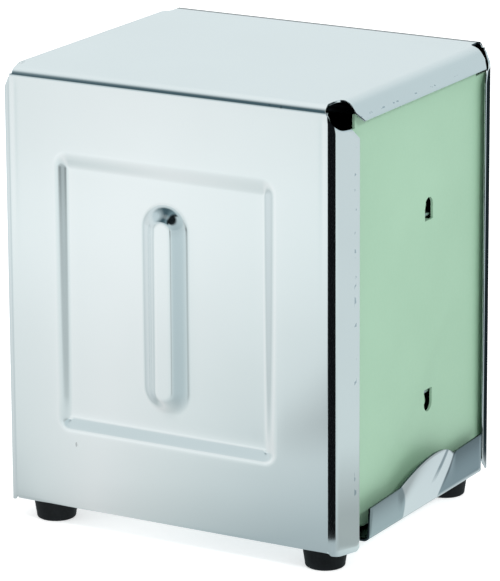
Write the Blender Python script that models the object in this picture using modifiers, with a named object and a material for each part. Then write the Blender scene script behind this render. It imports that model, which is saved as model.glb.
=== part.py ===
"""Two-sided tabletop napkin dispenser, half size.

One stamped stainless sheet wraps over the front, top and rear, with flared flanges round both mouths.
A stainless tray with a thumb lip at each mouth is screwed inside it, together with four rubber feet.
Two painted follower plates, pushed apart by one coil spring, press the napkins against the mouths.

Axes: +Z up, front panel faces -Y, the mouths face +X and -X. Origin on the floor, under the centre.
"""
import math

import bmesh
import bpy
from mathutils import Matrix, Vector

MM = 0.001

# Overall size, measured at the corners where the outer faces would meet without their bends.
BODY_WIDTH = 110 * MM
BODY_DEPTH = 98 * MM
BODY_HEIGHT = 132 * MM
FOOT_HEIGHT = 8 * MM

# Sheet metal.
SHEET = 0.6 * MM
FOLD_RADIUS = 3.0 * MM
HEM_RADIUS = 1.5 * MM
RETURN_FLANGE = 21 * MM
GAP = 0.3 * MM

# Flanges beside each mouth and hood above it: turn from the flat sheet, and length from the corner.
FLANGE_TURN = math.radians(71)
FLANGE_LENGTH = 10.05 * MM
FLANGE_DROP = 0.6 * MM
HOOD_TURN = math.radians(55)
HOOD_LENGTH = 7.2 * MM
HOOD_RADIUS = 4.05 * MM
HOOD_RELIEF = (2.6 * MM, 8.4 * MM)
RELIEF_HALF_WIDTH = 6.0 * MM
RELIEF_HALF_HEIGHT = 6.9 * MM
CORNER_CUT = 3.1 * MM
CORNER_HOLE = (51.9 * MM, 56.6 * MM, 39.96 * MM)
CORNER_HOLE_RADIUS = 2.4 * MM
CORNER_HOLE_LOW = 2.1 * MM
REAR_CUT_RISE = 4.8 * MM

# Pressed panel and rib on the front and rear faces.
PANEL_OUTER = (37.6 * MM, 43.3 * MM)
PANEL_INNER = (33.6 * MM, 38.9 * MM)
PANEL_DEPTH = 0.75 * MM
RIB_HALF_WIDTH = 7.85 * MM
RIB_HALF_HEIGHT = 31.8 * MM
RIB_FLAT_HALF = 2.8 * MM
RIB_RISE = 2.25 * MM

# Tray and its thumb lips.
TRAY_HALF_DEPTH = 46 * MM
MOUTH_HALF_DEPTH = 38.5 * MM
LIP_HALF_WIDTH = 37 * MM
LIP_OUT = 4.5 * MM
LIP_FLARE = 0.3 * MM
LIP_TOP = 12.8 * MM
TONGUE_HALF_WIDTH = 17.5 * MM
TONGUE_OUT = 2.2 * MM
TONGUE_RISE = 5.3 * MM
LIP_SKEW_OUT = 0.7 * MM
LIP_SKEW_UP = 1.0 * MM

# Follower plates.
PLATE = 0.8 * MM
PLATE_FACE = 55.6 * MM
PLATE_HALF_WIDTH = 44.5 * MM
PLATE_BOTTOM = 11.2 * MM
PLATE_TOP = 136.8 * MM
PLATE_RIM = 4.0 * MM
PLATE_EAR = (37.7 * MM, 5.3 * MM)
PLATE_RIM_HALF = 31 * MM
HOOK_Y = 8.0 * MM
HOOK_WIDTH = 5.0 * MM
HOOK_HEIGHT = 6.9 * MM
HOOK_REACH = 2.0 * MM

# Coil spring between the plates.
WIRE = 1.4 * MM
SPRING_RADIUS = 27.2 * MM
SPRING_HEIGHT = 68.5 * MM
END_RING = math.radians(300)
START_ANGLE = math.radians(60)
SPRING_TURN = math.radians(2940)
POINTS_PER_TURN = 20

# Feet and their fasteners.
FOOT_X = BODY_WIDTH / 2 - 8.8 * MM
FOOT_Y = BODY_DEPTH / 2 - 11 * MM
FOOT_TOP_RADIUS = 6.9 * MM
FOOT_BOTTOM_RADIUS = 5.9 * MM
FOOT_EDGE = 0.5 * MM
RECESS_RADIUS = 3.7 * MM
RECESS_DEPTH = 4.6 * MM
HOLE_RADIUS = 1.8 * MM
SCREW_RADIUS = 1.5 * MM
SCREW_HEAD_RADIUS = 3.5 * MM
SCREW_HEAD = 0.9 * MM
WASHER_RADIUS = 3.3 * MM
WASHER = 0.5 * MM
NUT_FLATS = 5.5 * MM
NUT = 2.4 * MM

# Levels that follow from the sizes above.
BODY_TOP = FOOT_HEIGHT + BODY_HEIGHT
PANEL_CENTRE = FOOT_HEIGHT + BODY_HEIGHT / 2
TRAY_BOTTOM = FOOT_HEIGHT + SHEET + GAP
TRAY_TOP = TRAY_BOTTOM + SHEET
PLATE_BACK = PLATE_FACE - PLATE
RING_X = PLATE_BACK - GAP - WIRE / 2
RING_INNER_FLAT = SPRING_RADIUS * math.cos(math.pi / POINTS_PER_TURN) - WIRE / 2
ROUND_SIDES = 24
BUILD_EPSILON = 0.01 * MM


def clear_scene():
    for obj in list(bpy.data.objects):
        bpy.data.objects.remove(obj)


def collection(name):
    made = bpy.data.collections.new(name)
    bpy.context.scene.collection.children.link(made)
    return made


def material(name, colour, roughness, metallic):
    made = bpy.data.materials.new(name)
    made.use_nodes = True
    shader = made.node_tree.nodes["Principled BSDF"]
    shader.inputs["Base Color"].default_value = (*colour, 1.0)
    shader.inputs["Roughness"].default_value = roughness
    shader.inputs["Metallic"].default_value = metallic
    return made


def add_object(name, mesh, finish, group, location=(0, 0, 0)):
    obj = bpy.data.objects.new(name, mesh)
    obj.location = location
    if finish is not None:
        mesh.materials.append(finish)
    group.objects.link(obj)
    return obj


def mesh_from(bm, name, smooth_angle=None):
    bmesh.ops.remove_doubles(bm, verts=bm.verts, dist=BUILD_EPSILON)
    mesh = bpy.data.meshes.new(name)
    bm.to_mesh(mesh)
    bm.free()
    if smooth_angle is not None:
        mesh.shade_smooth()
        mesh.set_sharp_from_angle(angle=math.radians(smooth_angle))
    return mesh


def add_sheet(bm, columns, rows, place, keep=lambda u, v: True):
    """A grid with a line at every column and row value, bent to shape by place(u, v)."""
    made = bmesh.ops.create_grid(bm, x_segments=len(columns) - 1, y_segments=len(rows) - 1, size=1.0)
    dropped = []
    for vert in made["verts"]:
        column = round((vert.co.x + 1) / 2 * (len(columns) - 1))
        row = round((vert.co.y + 1) / 2 * (len(rows) - 1))
        vert.co = (columns[column], rows[row], 0)
    for face in {f for vert in made["verts"] for f in vert.link_faces}:
        centre = face.calc_center_median()
        if not keep(centre.x, centre.y):
            dropped.append(face)
    bmesh.ops.delete(bm, geom=dropped, context="FACES")
    for vert in made["verts"]:
        if vert.is_valid:
            vert.co = place(vert.co.x, vert.co.y)


def box_mesh(name, low, high):
    bm = bmesh.new()
    size = Vector(high) - Vector(low)
    centre = (Vector(high) + Vector(low)) / 2
    bmesh.ops.create_cube(bm, size=1.0, matrix=Matrix.Translation(centre) @ Matrix.Diagonal((*size, 1)))
    return mesh_from(bm, name)


def cylinder_mesh(name, radius, low, high, sides=ROUND_SIDES):
    bm = bmesh.new()
    middle = Matrix.Translation((0, 0, (low + high) / 2))
    bmesh.ops.create_cone(bm, cap_ends=True, segments=sides, radius1=radius, radius2=radius,
                          depth=high - low, matrix=middle)
    return mesh_from(bm, name, 40)


def cutter(name, mesh, location=(0, 0, 0)):
    obj = add_object(name, mesh, None, CUTTERS, location)
    obj.hide_render = True
    obj.display_type = "WIRE"
    return obj


def boolean(obj, tool, operation):
    modifier = obj.modifiers.new(operation.lower(), "BOOLEAN")
    modifier.operation = operation
    modifier.object = tool
    modifier.solver = "EXACT"


def mirror(obj, across_x, across_y):
    modifier = obj.modifiers.new("mirror", "MIRROR")
    modifier.use_axis = (across_x, across_y, False)
    modifier.merge_threshold = BUILD_EPSILON


def thicken(obj, thickness):
    """Adds the sheet's thickness behind its outer face."""
    modifier = obj.modifiers.new("sheet thickness", "SOLIDIFY")
    modifier.thickness = thickness
    modifier.offset = -1
    modifier.use_even_offset = True


def arc(start, stop, steps):
    return [start + (stop - start) * i / steps for i in range(steps + 1)]


# ---------------------------------------------------------------- wrapper


def bent(distance, start, turn, radius):
    """(out, in) position at a distance past start along a sheet that bends by turn, then runs straight."""
    bend = radius * turn
    if distance <= start:
        return distance, 0.0
    angle = min(distance - start, bend) / radius
    straight = max(0.0, distance - start - bend)
    out = start + radius * math.sin(angle) + straight * math.cos(turn)
    inward = radius * (1 - math.cos(angle)) + straight * math.sin(turn)
    return out, inward


def flat_start(turn, radius):
    """Where a bend starts, so that the two flats would meet at the body's corner."""
    return BODY_WIDTH / 2 - radius * math.tan(turn / 2)


def blank_edge(turn, radius, length):
    """Flat-sheet distance of a flange's free edge, from the middle of the body."""
    return flat_start(turn, radius) + radius * turn + length - radius * math.tan(turn / 2)


EDGE_X = flat_start(FLANGE_TURN, FOLD_RADIUS)
FLANGE_EDGE = blank_edge(FLANGE_TURN, FOLD_RADIUS, FLANGE_LENGTH)
HOOD_START = flat_start(HOOD_TURN, HOOD_RADIUS)
HOOD_EDGE = blank_edge(HOOD_TURN, HOOD_RADIUS, HOOD_LENGTH)
FOLD_SAVING = FOLD_RADIUS * (1 - math.pi / 4)


def relief(distance):
    """How far a flange's top is cut down, by the round corner hole and the clipped tip."""
    across = min(1.0, max(0.0, (distance - EDGE_X) / RELIEF_HALF_WIDTH))
    hole = FOLD_SAVING + RELIEF_HALF_HEIGHT * math.sqrt(1 - (1 - across) ** 2)
    tip = max(0.0, distance - (FLANGE_EDGE - CORNER_CUT))
    return max(FOLD_RADIUS, hole) + tip


def hood_relief(distance):
    """How far a hood's end is cut back, by the same corner hole and its own clipped tip."""
    width, height = HOOD_RELIEF
    across = min(1.0, max(0.0, (distance - EDGE_X) / width))
    hole = FOLD_SAVING + height * math.sqrt(1 - (1 - across) ** 2)
    tip = max(0.0, distance - (HOOD_EDGE - CORNER_CUT))
    return max(FOLD_RADIUS, hole) + 0.75 * tip


def pressed(x, z):
    """How far the front face stands back from flat at x across and z above the panel's centre."""
    x, z = abs(x), abs(z)
    to_inner = max((PANEL_OUTER[0] - x) / (PANEL_OUTER[0] - PANEL_INNER[0]),
                   0 if x < PANEL_OUTER[0] else -1)
    to_inner = min(to_inner, (PANEL_OUTER[1] - z) / (PANEL_OUTER[1] - PANEL_INNER[1]))
    back = PANEL_DEPTH * min(1.0, max(0.0, to_inner))
    beyond = max(0.0, z - (RIB_HALF_HEIGHT - RIB_HALF_WIDTH))
    from_rib = math.hypot(x, beyond)
    rise = (RIB_HALF_WIDTH - from_rib) / (RIB_HALF_WIDTH - RIB_FLAT_HALF)
    return back - RIB_RISE * min(1.0, max(0.0, rise))


def wrap_point(x, path):
    """A point on the outer face, x across and path mm along the wrap from the return flange's edge."""
    half_depth = BODY_DEPTH / 2
    flat = RETURN_FLANGE - HEM_RADIUS
    if path <= flat:
        return Vector((x, -half_depth + RETURN_FLANGE - path, FOOT_HEIGHT))
    path -= flat
    hem = HEM_RADIUS * math.pi / 2
    if path <= hem:
        angle = path / HEM_RADIUS
        y = -half_depth + HEM_RADIUS * (1 - math.sin(angle))
        return Vector((x, y, FOOT_HEIGHT + HEM_RADIUS * (1 - math.cos(angle))))
    path -= hem
    face = BODY_HEIGHT - HEM_RADIUS - FOLD_RADIUS
    if path <= face:
        z = FOOT_HEIGHT + HEM_RADIUS + path
        return Vector((x, -half_depth + pressed(x, z - PANEL_CENTRE), z))
    path -= face
    fold = FOLD_RADIUS * math.pi / 2
    if path <= fold:
        angle = path / FOLD_RADIUS
        y = -half_depth + FOLD_RADIUS * (1 - math.cos(angle))
        return Vector((x, y, BODY_TOP - FOLD_RADIUS * (1 - math.sin(angle))))
    path -= fold
    return Vector((x, -half_depth + FOLD_RADIUS + path, BODY_TOP))


def face_rows():
    """Heights on the front face where the sheet needs a line, measured from the panel's centre."""
    straight = RIB_HALF_HEIGHT - RIB_HALF_WIDTH
    half = [0.0, straight / 2, straight, straight + 3 * MM, straight + 5.4 * MM, RIB_HALF_HEIGHT]
    half += [PANEL_INNER[1], PANEL_OUTER[1]]
    low = FOOT_HEIGHT + HEM_RADIUS - PANEL_CENTRE
    high = BODY_TOP - FOLD_RADIUS - PANEL_CENTRE
    return [low] + [-h for h in reversed(half[1:])] + half + [high]


def wrapper(finish, group):
    half_depth = BODY_DEPTH / 2
    columns = [0, RIB_FLAT_HALF, 5.4 * MM, RIB_HALF_WIDTH, 20 * MM, PANEL_INNER[0], PANEL_OUTER[0], EDGE_X]
    face_start = RETURN_FLANGE - HEM_RADIUS + HEM_RADIUS * math.pi / 2
    low = FOOT_HEIGHT + HEM_RADIUS - PANEL_CENTRE
    face_paths = [face_start + h - low for h in face_rows()]
    fold_end = face_paths[-1] + FOLD_RADIUS * math.pi / 2
    top_rows = [0.0, 4.5 * MM, 8.5 * MM, 22 * MM, half_depth - FOLD_RADIUS]
    rows = arc(0, RETURN_FLANGE - HEM_RADIUS, 2)[:-1]
    rows += arc(RETURN_FLANGE - HEM_RADIUS, face_start, 3)[:-1]
    rows += face_paths[:-1] + arc(face_paths[-1], fold_end, 5)[:-1]
    rows += [fold_end + t for t in top_rows]

    bm = bmesh.new()
    add_sheet(bm, columns, rows, wrap_point)

    def flange_point(distance, path):
        share = (path - face_paths[0]) / (face_paths[-1] - face_paths[0])
        out, inward = bent(distance, EDGE_X, FLANGE_TURN, FOLD_RADIUS)
        notch = HEM_RADIUS * max(0.0, 1 - (distance - EDGE_X) / MM)
        corner = max(0.0, distance - (FLANGE_EDGE - 1.2 * MM))
        drop = FLANGE_DROP * min(1.0, (distance - EDGE_X) / (4 * MM))
        bottom = FOOT_HEIGHT + notch - drop + corner ** 2 / (1.2 * MM)
        top = BODY_TOP - relief(distance)
        return Vector((out, -half_depth + inward, bottom + share * (top - bottom)))

    def hood_point(distance, path):
        share = (path - fold_end) / (half_depth - FOLD_RADIUS)
        out, down = bent(distance, HOOD_START, HOOD_TURN, HOOD_RADIUS)
        end = -half_depth + hood_relief(distance)
        return Vector((out, end * (1 - share), BODY_TOP - down))

    bend = FOLD_RADIUS * FLANGE_TURN
    flange_columns = arc(EDGE_X, EDGE_X + bend, 5) + [EDGE_X + RELIEF_HALF_WIDTH, FLANGE_EDGE - CORNER_CUT]
    flange_columns += [FLANGE_EDGE - 1.2 * MM, FLANGE_EDGE - 0.5 * MM, FLANGE_EDGE]
    add_sheet(bm, flange_columns, face_paths, flange_point)
    hood_columns = [EDGE_X + HOOD_RELIEF[0] * t for t in (0, 0.08, 0.3, 0.6, 1)]
    hood_columns += arc(EDGE_X + HOOD_RELIEF[0], HOOD_START + HOOD_RADIUS * HOOD_TURN, 2)[1:]
    hood_columns += [HOOD_EDGE - CORNER_CUT, HOOD_EDGE]
    add_sheet(bm, hood_columns, [fold_end + t for t in top_rows], hood_point)

    obj = add_object("body_wrapper", mesh_from(bm, "body_wrapper", 30), finish, group)
    mirror(obj, True, True)
    thicken(obj, SHEET)
    for x in (-FOOT_X, FOOT_X):
        for y in (-FOOT_Y, FOOT_Y):
            boolean(obj, FOOT_HOLES[x, y], "DIFFERENCE")
    for side in (-1, 1):
        boolean(obj, rear_flange_cutter(side), "DIFFERENCE")
        for end in (-1, 1):
            boolean(obj, corner_hole_cutter(side, end), "DIFFERENCE")
    return obj


def corner_hole_cutter(side, end):
    """Opens a top corner inward from the bends, so that the corner hole is round."""
    near, far, back = CORNER_HOLE
    radius = CORNER_HOLE_RADIUS
    outline = [(far, BODY_DEPTH / 2 + MM), (near, BODY_DEPTH / 2 + MM)]
    outline += [(near + radius * (1 - math.cos(a)), back + radius * (1 - math.sin(a)))
                for a in arc(0, math.pi / 2, 6)]
    outline.append((far, back))
    bm = bmesh.new()
    face = bm.faces.new([bm.verts.new((side * x, end * y, BODY_TOP - CORNER_HOLE_LOW)) for x, y in outline])
    made = bmesh.ops.extrude_face_region(bm, geom=[face])
    bmesh.ops.translate(bm, vec=(0, 0, 2 * CORNER_HOLE_LOW),
                        verts=[v for v in made["geom"] if isinstance(v, bmesh.types.BMVert)])
    bmesh.ops.recalc_face_normals(bm, faces=bm.faces)
    return cutter(f"corner_hole_{side}_{end}", mesh_from(bm, "corner_hole"))


def rear_flange_cutter(side):
    """Clips the rear flange's bottom at a slant, from nothing at its bend to REAR_CUT_RISE at its edge."""
    run = FLANGE_LENGTH * math.sin(FLANGE_TURN) - FOLD_RADIUS
    mesh = box_mesh("rear_flange_cut", (-3.4 * MM, -20 * MM, -10 * MM), (3.4 * MM, 3 * MM, 0))
    obj = cutter(f"rear_flange_cut_{side}", mesh)
    obj.location = (side * (EDGE_X + 4.2 * MM), BODY_DEPTH / 2 - FOLD_RADIUS, FOOT_HEIGHT)
    obj.rotation_euler = (-math.atan2(REAR_CUT_RISE, run), 0, 0)
    return obj


# ---------------------------------------------------------------- tray


def tray_point(path, y):
    """A point on the tray's lower and outer face, path along the floor, up the bend and up the lip."""
    skew = y / LIP_HALF_WIDTH
    lip_x = BODY_WIDTH / 2 + LIP_OUT
    floor_end = lip_x - HEM_RADIUS
    if path <= floor_end:
        return Vector((path, y, TRAY_BOTTOM))
    path -= floor_end
    bend = HEM_RADIUS * math.pi / 2
    shift = -LIP_SKEW_OUT * skew
    if path <= bend:
        angle = path / HEM_RADIUS
        share = path / bend
        x = floor_end + HEM_RADIUS * math.sin(angle) + shift * share
        return Vector((x, y, TRAY_BOTTOM + HEM_RADIUS * (1 - math.cos(angle))))
    share = (path - bend) / lip_length()
    crown = max(0.0, 1 - (y / TONGUE_HALF_WIDTH) ** 2)
    base = TRAY_BOTTOM + HEM_RADIUS
    top = FOOT_HEIGHT + LIP_TOP + LIP_SKEW_UP * skew + TONGUE_RISE * crown
    out = lip_x + shift + LIP_FLARE * share + TONGUE_OUT * crown * share ** 1.6
    return Vector((out, y, base + share * (top - base)))


def lip_length():
    return LIP_TOP - HEM_RADIUS - SHEET - GAP


def tray(finish, group):
    floor_end = BODY_WIDTH / 2 + LIP_OUT - HEM_RADIUS
    bend_end = floor_end + HEM_RADIUS * math.pi / 2
    wide_end = EDGE_X - 1.4 * MM
    lip_start = BODY_WIDTH / 2 + 1.0 * MM
    columns = [0, FOOT_X / 2, wide_end, lip_start] + arc(floor_end, bend_end, 4)
    columns += arc(bend_end, bend_end + lip_length(), 4)[1:]
    half = [0, 6 * MM, 11 * MM, 15 * MM, TONGUE_HALF_WIDTH, 27 * MM, LIP_HALF_WIDTH]
    half += [MOUTH_HALF_DEPTH, TRAY_HALF_DEPTH]
    rows = [-h for h in reversed(half[1:])] + half

    def keep(path, y):
        if path > lip_start:
            return abs(y) < LIP_HALF_WIDTH
        if path > wide_end:
            return abs(y) < MOUTH_HALF_DEPTH
        return True

    bm = bmesh.new()
    add_sheet(bm, columns, rows, tray_point, keep)
    bmesh.ops.reverse_faces(bm, faces=bm.faces)
    obj = add_object("base_tray", mesh_from(bm, "base_tray", 30), finish, group)
    mirror(obj, True, False)
    thicken(obj, SHEET)
    for x in (-FOOT_X, FOOT_X):
        for y in (-FOOT_Y, FOOT_Y):
            boolean(obj, FOOT_HOLES[x, y], "DIFFERENCE")
    return obj


# ---------------------------------------------------------------- follower plates and spring


def follower_plate(name, side, finish, group):
    """A flat plate with rims turned in along top and bottom, notched top corners, and two spring hooks."""
    half = PLATE_HALF_WIDTH
    centre_z = (PLATE_BOTTOM + PLATE_TOP) / 2
    half_height = (PLATE_TOP - PLATE_BOTTOM) / 2
    bend = PLATE * 1.5

    def section(path):
        """Half of the plate's section, from its middle up and round into the rim."""
        straight = half_height - bend
        if path <= straight:
            return 0.0, path
        angle = min((path - straight) / bend, math.pi / 2)
        rim = max(0.0, path - straight - bend * math.pi / 2)
        return -bend * (1 - math.cos(angle)) - rim, straight + bend * math.sin(angle)

    def place(y, path):
        inward, up = section(abs(path))
        return Vector((inward, y, math.copysign(up, path)))

    ear, notch = PLATE_EAR
    flat_end = half_height - bend
    half_rows = [0, half_height - notch, flat_end] + arc(flat_end, flat_end + bend * math.pi / 2, 3)[1:]
    half_rows.append(half_rows[-1] + PLATE_RIM - bend)
    rows = [-p for p in reversed(half_rows[1:])] + half_rows

    def keep(y, path):
        if abs(y) > PLATE_RIM_HALF and abs(path) > flat_end:
            return False
        return abs(y) < ear or path < half_height - notch

    bm = bmesh.new()
    add_sheet(bm, [-half, -ear, -PLATE_RIM_HALF, PLATE_RIM_HALF, ear, half], rows, place, keep)
    if side < 0:
        for vert in bm.verts:
            vert.co.x = -vert.co.x
        bmesh.ops.reverse_faces(bm, faces=bm.faces)
    obj = add_object(name, mesh_from(bm, name, 30), finish, group, (side * PLATE_FACE, 0, centre_z))
    thicken(obj, PLATE)
    for up in (-1, 1):
        hinge = SPRING_HEIGHT + up * (RING_INNER_FLAT - GAP)
        boolean(obj, hook_window(side, up, hinge), "DIFFERENCE")
        boolean(obj, hook_tab(side, up, hinge), "UNION")
    return obj


def hook_window(side, up, hinge):
    """The hole that a hook was pressed out of, flat at the hinge and round at the far end."""
    radius = HOOK_WIDTH / 2
    height = HOOK_HEIGHT - radius
    bm = bmesh.new()
    place = Matrix.Translation((side * (PLATE_FACE - PLATE / 2), HOOK_Y, hinge + up * height / 2))
    bmesh.ops.create_cube(bm, size=1.0, matrix=place @ Matrix.Diagonal((6 * MM, HOOK_WIDTH, height, 1)))
    window = cutter(f"window_{side}_{up}", mesh_from(bm, "window"))
    bm = bmesh.new()
    place = Matrix.Translation((side * (PLATE_FACE - PLATE / 2), HOOK_Y, hinge + up * height))
    turn = Matrix.Rotation(math.pi / 2, 4, "Y")
    bmesh.ops.create_cone(bm, cap_ends=True, segments=ROUND_SIDES, radius1=radius, radius2=radius,
                          depth=6 * MM, matrix=place @ turn)
    boolean(window, cutter(f"window_end_{side}_{up}", mesh_from(bm, "window_end")), "UNION")
    return window


def hook_tab(side, up, hinge):
    """An L-shaped tab: inward from the hinge, then along behind the spring's end ring."""
    half = (HOOK_WIDTH - 2 * GAP) / 2
    back = PLATE_BACK - HOOK_REACH - PLATE

    def block(name, x_low, x_high, z_low, z_high):
        xs = sorted((side * x_low, side * x_high))
        zs = sorted((hinge + up * z_low, hinge + up * z_high))
        return cutter(name, box_mesh(name, (xs[0], HOOK_Y - half, zs[0]), (xs[1], HOOK_Y + half, zs[1])))

    arm = block(f"hook_arm_{side}_{up}", back, PLATE_FACE - PLATE / 2, -PLATE, 0)
    tongue = block(f"hook_tongue_{side}_{up}", back, back + PLATE, -PLATE / 2, HOOK_HEIGHT - PLATE)
    boolean(arm, tongue, "UNION")
    return arm


def coil_spring(finish, group):
    """One compression spring along X, with a flat ring at each end that the plates' hooks hold."""
    steps = round(SPRING_TURN / (2 * math.pi) * POINTS_PER_TURN)
    coiled = SPRING_TURN - 2 * END_RING
    curve = bpy.data.curves.new("coil_spring", "CURVE")
    curve.dimensions = "3D"
    curve.bevel_depth = WIRE / 2
    curve.bevel_resolution = 2
    curve.use_fill_caps = True
    spline = curve.splines.new("POLY")
    spline.points.add(steps)
    for i in range(steps + 1):
        turned = SPRING_TURN * i / steps
        along = min(1.0, max(0.0, (turned - END_RING) / coiled))
        angle = START_ANGLE + turned
        y = HOOK_Y + SPRING_RADIUS * math.cos(angle)
        z = SPRING_HEIGHT + SPRING_RADIUS * math.sin(angle)
        spline.points[i].co = (RING_X * (2 * along - 1), y, z, 1)
    curve.materials.append(finish)
    obj = bpy.data.objects.new("coil_spring", curve)
    group.objects.link(obj)
    return obj


# ---------------------------------------------------------------- feet and fasteners


def turned_mesh(name, profile, sides=ROUND_SIDES):
    """A closed profile of (radius, height) points turned once round the Z axis."""
    bm = bmesh.new()
    verts = [bm.verts.new((radius, 0, height)) for radius, height in profile]
    edges = [bm.edges.new((verts[i], verts[(i + 1) % len(verts)])) for i in range(len(verts))]
    bmesh.ops.spin(bm, geom=verts + edges, cent=(0, 0, 0), axis=(0, 0, 1), angle=2 * math.pi,
                   steps=sides, use_merge=True)
    bmesh.ops.remove_doubles(bm, verts=bm.verts, dist=BUILD_EPSILON)
    bmesh.ops.recalc_face_normals(bm, faces=bm.faces)
    return mesh_from(bm, name, 40)


def foot_mesh():
    top = FOOT_HEIGHT - GAP
    slope = (FOOT_TOP_RADIUS - FOOT_BOTTOM_RADIUS) / top
    profile = [(HOLE_RADIUS, RECESS_DEPTH), (HOLE_RADIUS, top), (FOOT_TOP_RADIUS, top)]
    profile += [(FOOT_BOTTOM_RADIUS + slope * FOOT_EDGE, FOOT_EDGE), (FOOT_BOTTOM_RADIUS - FOOT_EDGE, 0)]
    profile += [(RECESS_RADIUS, 0), (RECESS_RADIUS, RECESS_DEPTH)]
    return turned_mesh("rubber_foot", profile)


def washer_mesh():
    top = RECESS_DEPTH - GAP
    low = top - WASHER
    return turned_mesh("washer", [(HOLE_RADIUS, low), (HOLE_RADIUS, top), (WASHER_RADIUS, top),
                                  (WASHER_RADIUS, low)])


def screw_mesh():
    seat = TRAY_TOP + GAP
    tip = RECESS_DEPTH - GAP - WASHER - GAP - NUT - 0.2 * MM
    mesh = cylinder_mesh("screw", SCREW_RADIUS, tip, seat + SCREW_HEAD / 2, 16)
    head = bmesh.new()
    head.from_mesh(cylinder_mesh("head", SCREW_HEAD_RADIUS, seat, seat + SCREW_HEAD, 16))
    for vert in head.verts:
        if vert.co.z > seat + SCREW_HEAD / 2:
            vert.co.x *= 0.6
            vert.co.y *= 0.6
    return mesh, mesh_from(head, "screw_head", 40)


def nut_mesh():
    top = RECESS_DEPTH - GAP - WASHER - GAP
    return cylinder_mesh("nut", NUT_FLATS / math.sqrt(3), top - NUT, top, 6)


def feet(rubber, zinc, group):
    foot = foot_mesh()
    washer = washer_mesh()
    nut = nut_mesh()
    shank, head = screw_mesh()
    foot.materials.append(rubber)
    for shared in (washer, nut, shank):
        shared.materials.append(zinc)
    bore = cylinder_mesh("nut_bore", HOLE_RADIUS, -1 * MM, 2 * FOOT_HEIGHT)
    for x, x_name in ((-FOOT_X, "left"), (FOOT_X, "right")):
        for y, y_name in ((-FOOT_Y, "front"), (FOOT_Y, "rear")):
            where = f"{y_name}_{x_name}"
            place = (x, y, 0)
            add_object(f"rubber_foot_{where}", foot, None, group, place)
            add_object(f"foot_washer_{where}", washer, None, group, place)
            screw = add_object(f"foot_screw_{where}", shank, None, group, place)
            boolean(screw, cutter(f"screw_head_{where}", head, place), "UNION")
            nut_object = add_object(f"foot_nut_{where}", nut, None, group, place)
            boolean(nut_object, cutter(f"nut_bore_{where}", bore, place), "DIFFERENCE")


# ---------------------------------------------------------------- assembly

clear_scene()
DISPENSER = collection("napkin_dispenser")
CUTTERS = collection("cutters")
stainless = material("polished stainless", (0.72, 0.75, 0.77), 0.18, 1.0)
mint = material("mint powder coat", (0.38, 0.62, 0.46), 0.45, 0.0)
spring_steel = material("spring steel", (0.55, 0.56, 0.58), 0.3, 1.0)
black_rubber = material("black rubber", (0.02, 0.02, 0.022), 0.7, 0.0)
zinc_plate = material("zinc plate", (0.65, 0.66, 0.68), 0.3, 1.0)

hole = cylinder_mesh("foot_hole", HOLE_RADIUS, FOOT_HEIGHT - 2 * MM, TRAY_TOP + 2 * MM)
FOOT_HOLES = {(x, y): cutter(f"foot_hole_{i}_{j}", hole, (x, y, 0))
              for i, x in enumerate((-FOOT_X, FOOT_X)) for j, y in enumerate((-FOOT_Y, FOOT_Y))}

wrapper(stainless, DISPENSER)
tray(stainless, DISPENSER)
follower_plate("follower_plate_right", 1, mint, DISPENSER)
follower_plate("follower_plate_left", -1, mint, DISPENSER)
coil_spring(spring_steel, DISPENSER)
feet(black_rubber, zinc_plate, DISPENSER)
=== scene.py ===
"""Looks of the two-sided tabletop napkin dispenser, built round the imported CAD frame.

Every visible piece is remade here as a finer mesh in the place that its CAD node holds: the stamped
stainless wrapper, the tray with its thumb lips, the painted follower plates, the spring, the rubber
feet and their screws, washers and nuts. Lengths are written in millimetres times MM.
"""
import math

import bmesh
import bpy
from mathutils import Matrix, Vector


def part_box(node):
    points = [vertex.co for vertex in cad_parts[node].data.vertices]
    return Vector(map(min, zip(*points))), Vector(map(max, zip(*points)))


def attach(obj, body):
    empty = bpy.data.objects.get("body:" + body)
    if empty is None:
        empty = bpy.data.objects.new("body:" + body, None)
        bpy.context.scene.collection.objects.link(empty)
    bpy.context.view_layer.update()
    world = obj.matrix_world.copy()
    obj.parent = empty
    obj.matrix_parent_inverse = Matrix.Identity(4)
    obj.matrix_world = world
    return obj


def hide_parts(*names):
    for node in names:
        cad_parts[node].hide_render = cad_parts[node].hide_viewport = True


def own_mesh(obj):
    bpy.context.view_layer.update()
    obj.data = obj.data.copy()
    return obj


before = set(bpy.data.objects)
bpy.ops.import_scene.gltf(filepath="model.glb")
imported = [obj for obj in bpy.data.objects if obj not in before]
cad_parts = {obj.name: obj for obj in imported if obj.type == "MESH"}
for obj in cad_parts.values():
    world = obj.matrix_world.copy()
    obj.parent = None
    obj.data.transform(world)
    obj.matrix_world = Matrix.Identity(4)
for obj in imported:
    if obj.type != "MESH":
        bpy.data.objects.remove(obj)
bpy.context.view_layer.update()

MM = 0.001
LOW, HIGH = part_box("body_wrapper")
TRAY_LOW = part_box("base_tray")[0]
PLATE_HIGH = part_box("follower_plate_right")[1]
SPRING_LOW, SPRING_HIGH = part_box("coil_spring")

# The wrapper: sizes at the corners where the flat faces would meet.
BODY_BOTTOM = LOW.z
BODY_TOP = HIGH.z
BODY_HEIGHT = BODY_TOP - BODY_BOTTOM
BODY_WIDTH = 110 * MM
BODY_DEPTH = 98 * MM
HALF_DEPTH = BODY_DEPTH / 2
SHEET = 0.6 * MM
FOLD_RADIUS = 3.0 * MM
HEM_RADIUS = 1.5 * MM
RETURN_FLANGE = 21 * MM
EDGE_ROUND = 0.09 * MM
PANEL_CENTRE = (BODY_BOTTOM + BODY_TOP) / 2

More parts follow.
